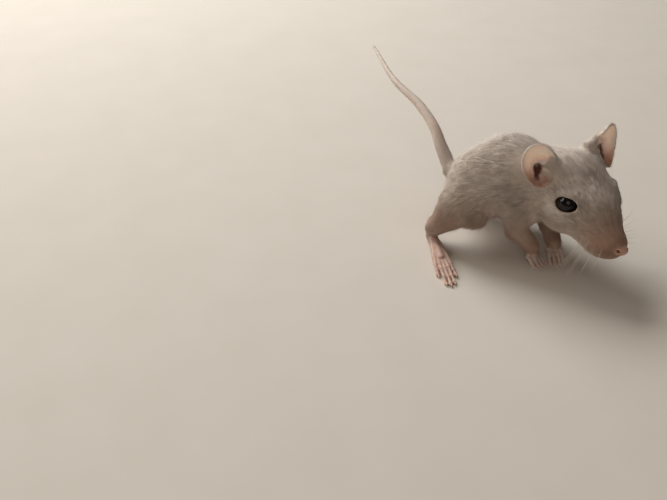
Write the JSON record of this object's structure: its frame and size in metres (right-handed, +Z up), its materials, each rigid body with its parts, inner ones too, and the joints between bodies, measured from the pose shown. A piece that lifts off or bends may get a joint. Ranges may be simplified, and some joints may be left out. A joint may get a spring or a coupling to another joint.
{
  "type": "gerbil pup",
  "caption": "Young gerbil crouching on all fours with its head turned aside and lowered, its ears up and its tail held out behind.",
  "frame": {"origin": "middle of the bounding box seen from above, on the floor the feet stand on", "axes": "+Z up; +X the way the body faces, from the tail towards the chest; +Y to the animal's left"},
  "size_m": [0.0904, 0.0526, 0.0347],
  "materials": {
    "head_fur": "short warm grey-beige fur, paler under the chin",
    "back_fur": "short warm grey-beige fur with darker tips",
    "limb_fur": "short pale fur thinning to pink skin at wrist and ankle",
    "bare_skin": "bare pink skin with fine folds and pale claws",
    "tail_skin": "pinkish tan skin under thin short hairs",
    "ear_skin": "thin pink skin with a downy pale rim",
    "eye": "wet glossy near-black",
    "nose_skin": "moist pinkish brown skin"
  },
  "bodies": {
    "root": {"head": "head_fur", "neck": "head_fur", "chest": "back_fur", "abdomen": "back_fur", "rump": "back_fur", "thigh_right": "back_fur", "thigh_left": "back_fur", "shank_right": "limb_fur", "shank_left": "limb_fur", "upper_arm_right": "limb_fur", "upper_arm_left": "limb_fur", "forearm_right": "limb_fur", "forearm_left": "limb_fur", "hind_foot_right": "bare_skin", "hind_foot_left": "bare_skin", "hand_right": "bare_skin", "hand_left": "bare_skin", "tail_base": "tail_skin", "tail_middle": "tail_skin", "tail_tip": "tail_skin", "ear_right": "ear_skin", "ear_left": "ear_skin", "eye_right": "eye", "eye_left": "eye", "nose": "nose_skin"}
  },
  "joints": []
}
